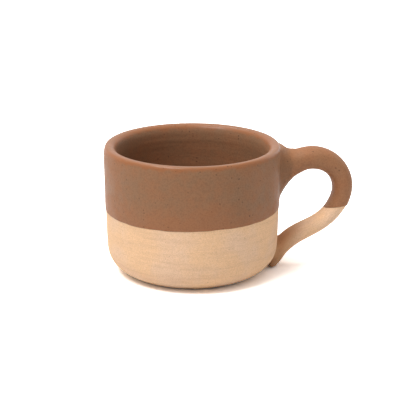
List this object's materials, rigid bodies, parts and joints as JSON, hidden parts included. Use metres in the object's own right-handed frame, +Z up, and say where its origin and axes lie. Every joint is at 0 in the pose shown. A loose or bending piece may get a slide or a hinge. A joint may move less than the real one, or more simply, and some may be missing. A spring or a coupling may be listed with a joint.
{
  "type": "coffee cup",
  "caption": "Squat stoneware coffee cup with a rounded lip, a pulled loop handle and a satin glaze dipped over its upper half.",
  "frame": {"origin": "on the cup's axis, on the plane of the foot ring that it stands on", "axes": "+Z up along the cup's axis, +X towards the handle, in the mirror plane of the handle"},
  "size_m": [0.1193, 0.084, 0.062],
  "materials": {
    "bare_clay": "bare fired stoneware, fine grain",
    "slip": "bare fired slip",
    "outer_glaze": "satin brown glaze with fine specks",
    "inner_glaze": "satin brown glaze"
  },
  "bodies": {
    "root": {"vessel_body": "bare_clay", "handle": "bare_clay", "upper_slip_joint": "slip", "lower_slip_joint": "slip", "outer_glaze_coat": "outer_glaze", "inner_glaze_liner": "inner_glaze", "handle_glaze_coat": "outer_glaze"}
  },
  "joints": []
}
